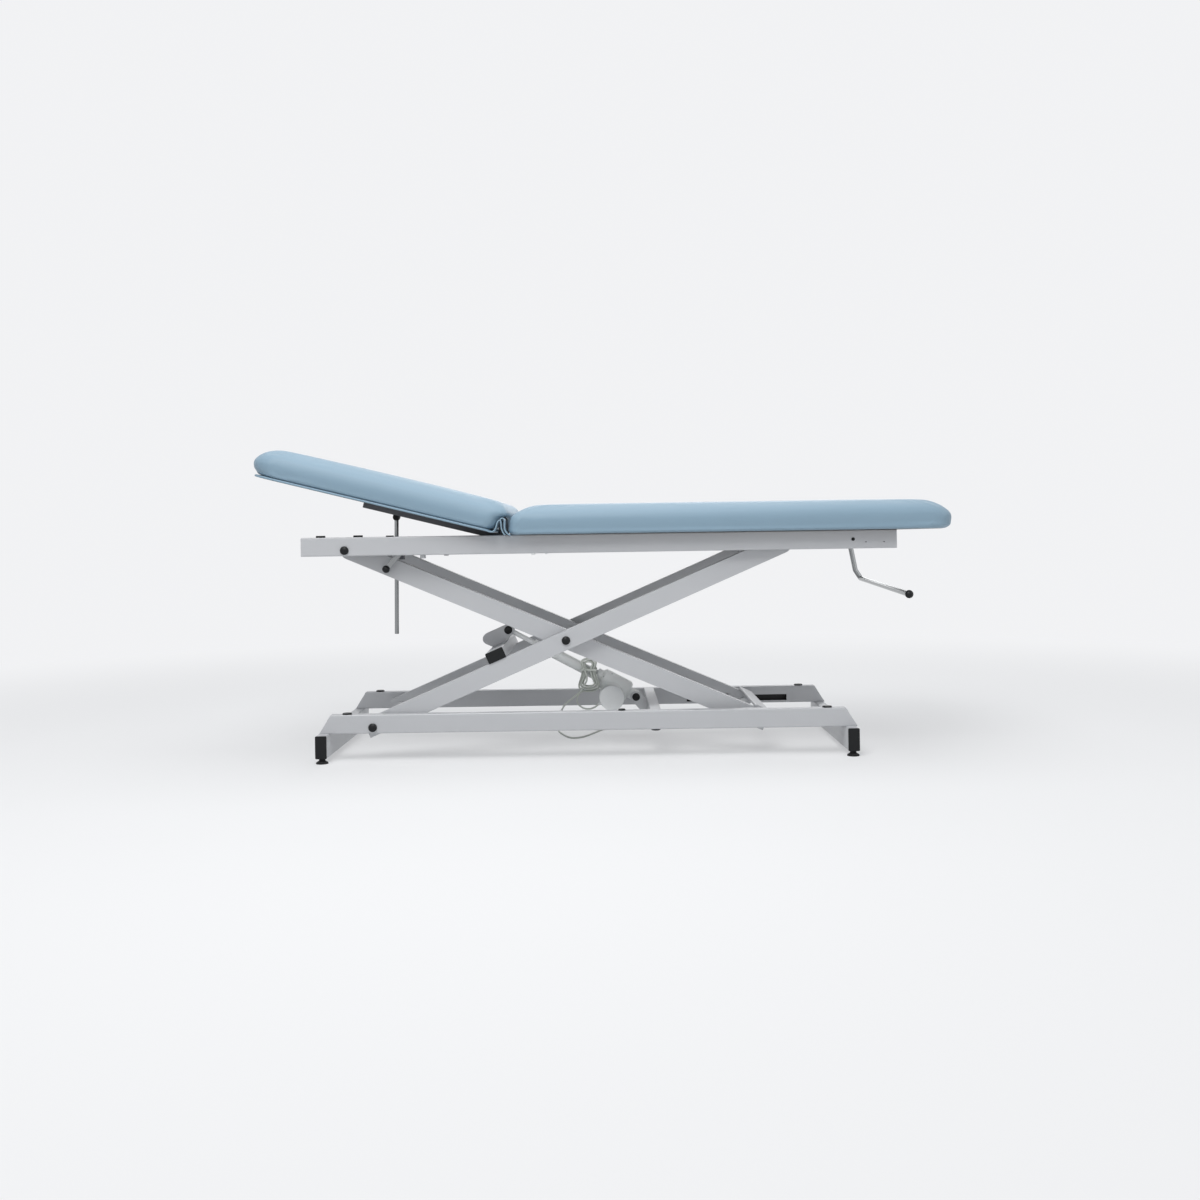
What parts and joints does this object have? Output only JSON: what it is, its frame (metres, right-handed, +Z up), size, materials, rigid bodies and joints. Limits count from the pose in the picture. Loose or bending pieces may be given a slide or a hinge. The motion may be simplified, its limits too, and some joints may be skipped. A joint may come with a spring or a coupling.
{
  "type": "treatment table",
  "caption": "Padded treatment table on an electric scissor lift, with a rising backrest held by a prop rod, steel tube base and levelling feet.",
  "frame": {"origin": "on the floor, under the middle of the table's bounding box", "axes": "+X along the table towards its foot end, -Y towards the side seen in front, +Z up"},
  "size_m": [1.8526, 0.62, 0.8314],
  "materials": {
    "frame_paint": "silver grey powder coat",
    "dark_paint": "dark satin paint",
    "black_plastic": "moulded, slightly glossy",
    "foot_rubber": "matte rubber",
    "zinc_steel": "zinc plated",
    "chrome_bar": "polished",
    "blue_vinyl": "pale grey blue artificial leather with a fine grain",
    "plywood": "plain plywood",
    "pale_plastic": "smooth moulded housing",
    "white_nylon": "plain nylon",
    "cord_sheath": "soft cable sheath"
  },
  "bodies": {
    "base": {"base_beam_front": "frame_paint", "base_beam_rear": "frame_paint", "floor_tube_head": "frame_paint", "floor_tube_foot": "frame_paint", "base_middle_tube": "frame_paint", "floor_tube_caps": "black_plastic", "base_round_caps": "black_plastic", "actuator_rear_bracket": "zinc_steel", "base_pivot_bolts": "zinc_steel", "cord_lead": "cord_sheath", "cord_hank": "cord_sheath", "cord_tie": "cord_sheath", "cord_strand": "cord_sheath", "mains_plug": "black_plastic"},
    "foot_head_front": {"levelling_foot_head_front": "foot_rubber"},
    "foot_head_rear": {"levelling_foot_head_rear": "foot_rubber"},
    "foot_tail_front": {"levelling_foot_tail_front": "foot_rubber"},
    "foot_tail_rear": {"levelling_foot_tail_rear": "foot_rubber"},
    "outer_arms": {"outer_arm_front": "frame_paint", "outer_arm_rear": "frame_paint", "outer_arm_lower_tube": "frame_paint", "outer_arm_upper_tube": "frame_paint", "outer_arm_black_caps": "black_plastic", "actuator_front_bracket": "frame_paint", "centre_pivot_bolts": "zinc_steel", "upper_roller_axles": "zinc_steel"},
    "inner_arms": {"inner_arm_front": "frame_paint", "inner_arm_rear": "frame_paint", "inner_arm_lower_bar": "frame_paint", "inner_arm_upper_tube": "frame_paint", "lower_roller_axles": "zinc_steel"},
    "roller_lower_front": {"lower_roller_front": "white_nylon"},
    "roller_lower_rear": {"lower_roller_rear": "white_nylon"},
    "roller_upper_front": {"upper_roller_front": "white_nylon"},
    "roller_upper_rear": {"upper_roller_rear": "white_nylon"},
    "upper_frame": {"top_beam_front": "frame_paint", "top_beam_rear": "frame_paint", "top_cross_tubes": "frame_paint", "top_pivot_bolts": "zinc_steel", "top_round_caps": "black_plastic", "top_bumpers": "foot_rubber", "seat_board": "plywood", "seat_cushion": "blue_vinyl", "rod_guide_bracket": "frame_paint", "hinge_ears": "dark_paint", "paper_roll_holder": "chrome_bar", "paper_roll_ball": "black_plastic"},
    "swivel": {"rod_swivel": "dark_paint"},
    "lever": {"release_lever": "chrome_bar", "release_knob": "black_plastic"},
    "backrest": {"backrest_board": "plywood", "backrest_cushion": "blue_vinyl", "backrest_frame": "dark_paint", "rod_pin_bracket": "black_plastic"},
    "rod": {"prop_rod": "chrome_bar"},
    "actuator": {"actuator_housing": "pale_plastic", "actuator_motor": "pale_plastic", "actuator_sleeve": "pale_plastic", "cord_strain_relief": "pale_plastic"},
    "piston": {"actuator_piston": "white_nylon"}
  },
  "joints": [
    {"name": "lift", "type": "hinge", "parent": "base", "child": "outer_arms", "pos_m": [-0.618, 0, 0.09], "axis": [0, -1, 0], "range_deg": [-9, 13.5]},
    {"name": "scissor_centre", "type": "hinge", "parent": "outer_arms", "child": "inner_arms", "pos_m": [-0.10328, 0, 0.31061], "axis": [0, -1, 0], "range_deg": [-27.1, 18.1]},
    {"name": "scissor_top", "type": "hinge", "parent": "inner_arms", "child": "upper_frame", "pos_m": [-0.68602, 0, 0.56037], "axis": [0, -1, 0], "range_deg": [-9.1, 13.6]},
    {"name": "backrest_tilt", "type": "hinge", "parent": "upper_frame", "child": "backrest", "pos_m": [-0.264, 0, 0.63437], "axis": [0, 1, 0], "range_deg": [-13.4, 34]},
    {"name": "rod_pin", "type": "hinge", "parent": "backrest", "child": "rod", "pos_m": [-0.58985, 0, 0.65111], "axis": [0, 1, 0], "range_deg": [-23.6, 9.4]},
    {"name": "rod_swivel", "type": "hinge", "parent": "upper_frame", "child": "swivel", "pos_m": [-0.59119, 0, 0.53997], "axis": [0, 1, 0], "range_deg": [-4.3, 10.7]},
    {"name": "release", "type": "hinge", "parent": "upper_frame", "child": "lever", "pos_m": [-0.53, 0, 0.56637], "axis": [0, -1, 0], "range_deg": [0, 20]},
    {"name": "actuator_pivot", "type": "hinge", "parent": "base", "child": "actuator", "pos_m": [0.087, 0, 0.131], "axis": [0, -1, 0], "range_deg": [-5.4, 3.6], "deforming": ["cord_lead"]},
    {"name": "piston_slide", "type": "slide", "parent": "actuator", "child": "piston", "axis": [-0.8801, 0, 0.4747], "range_m": [-0.0585, 0.0875]},
    {"name": "roller_lower_front_spin", "type": "hinge", "parent": "inner_arms", "child": "roller_lower_front", "pos_m": [0.41143, -0.238, 0.09], "axis": [0, 1, 0], "continuous": true},
    {"name": "roller_lower_rear_spin", "type": "hinge", "parent": "inner_arms", "child": "roller_lower_rear", "pos_m": [0.41143, 0.238, 0.09], "axis": [0, 1, 0], "continuous": true},
    {"name": "roller_upper_front_spin", "type": "hinge", "parent": "outer_arms", "child": "roller_upper_front", "pos_m": [0.47945, -0.238, 0.56037], "axis": [0, 1, 0], "continuous": true},
    {"name": "roller_upper_rear_spin", "type": "hinge", "parent": "outer_arms", "child": "roller_upper_rear", "pos_m": [0.47945, 0.238, 0.56037], "axis": [0, 1, 0], "continuous": true},
    {"name": "foot_head_front_turn", "type": "hinge", "parent": "base", "child": "foot_head_front", "pos_m": [-0.749, -0.285, 0.02], "axis": [0, 0, 1], "continuous": true},
    {"name": "foot_head_rear_turn", "type": "hinge", "parent": "base", "child": "foot_head_rear", "pos_m": [-0.749, 0.285, 0.02], "axis": [0, 0, 1], "continuous": true},
    {"name": "foot_tail_front_turn", "type": "hinge", "parent": "base", "child": "foot_tail_front", "pos_m": [0.651, -0.285, 0.02], "axis": [0, 0, 1], "continuous": true},
    {"name": "foot_tail_rear_turn", "type": "hinge", "parent": "base", "child": "foot_tail_rear", "pos_m": [0.651, 0.285, 0.02], "axis": [0, 0, 1], "continuous": true}
  ],
  "couplings": [
    {"joint": "scissor_centre", "follows": "lift", "ratio": -2},
    {"joint": "scissor_top", "follows": "lift", "ratio": 1},
    {"joint": "actuator_pivot", "follows": "lift", "ratio": -0.39},
    {"joint": "piston_slide", "follows": "lift", "m_per_rad": 0.36956},
    {"joint": "rod_pin", "follows": "backrest_tilt", "ratio": -0.69},
    {"joint": "rod_swivel", "follows": "backrest_tilt", "ratio": 0.31}
  ]
}
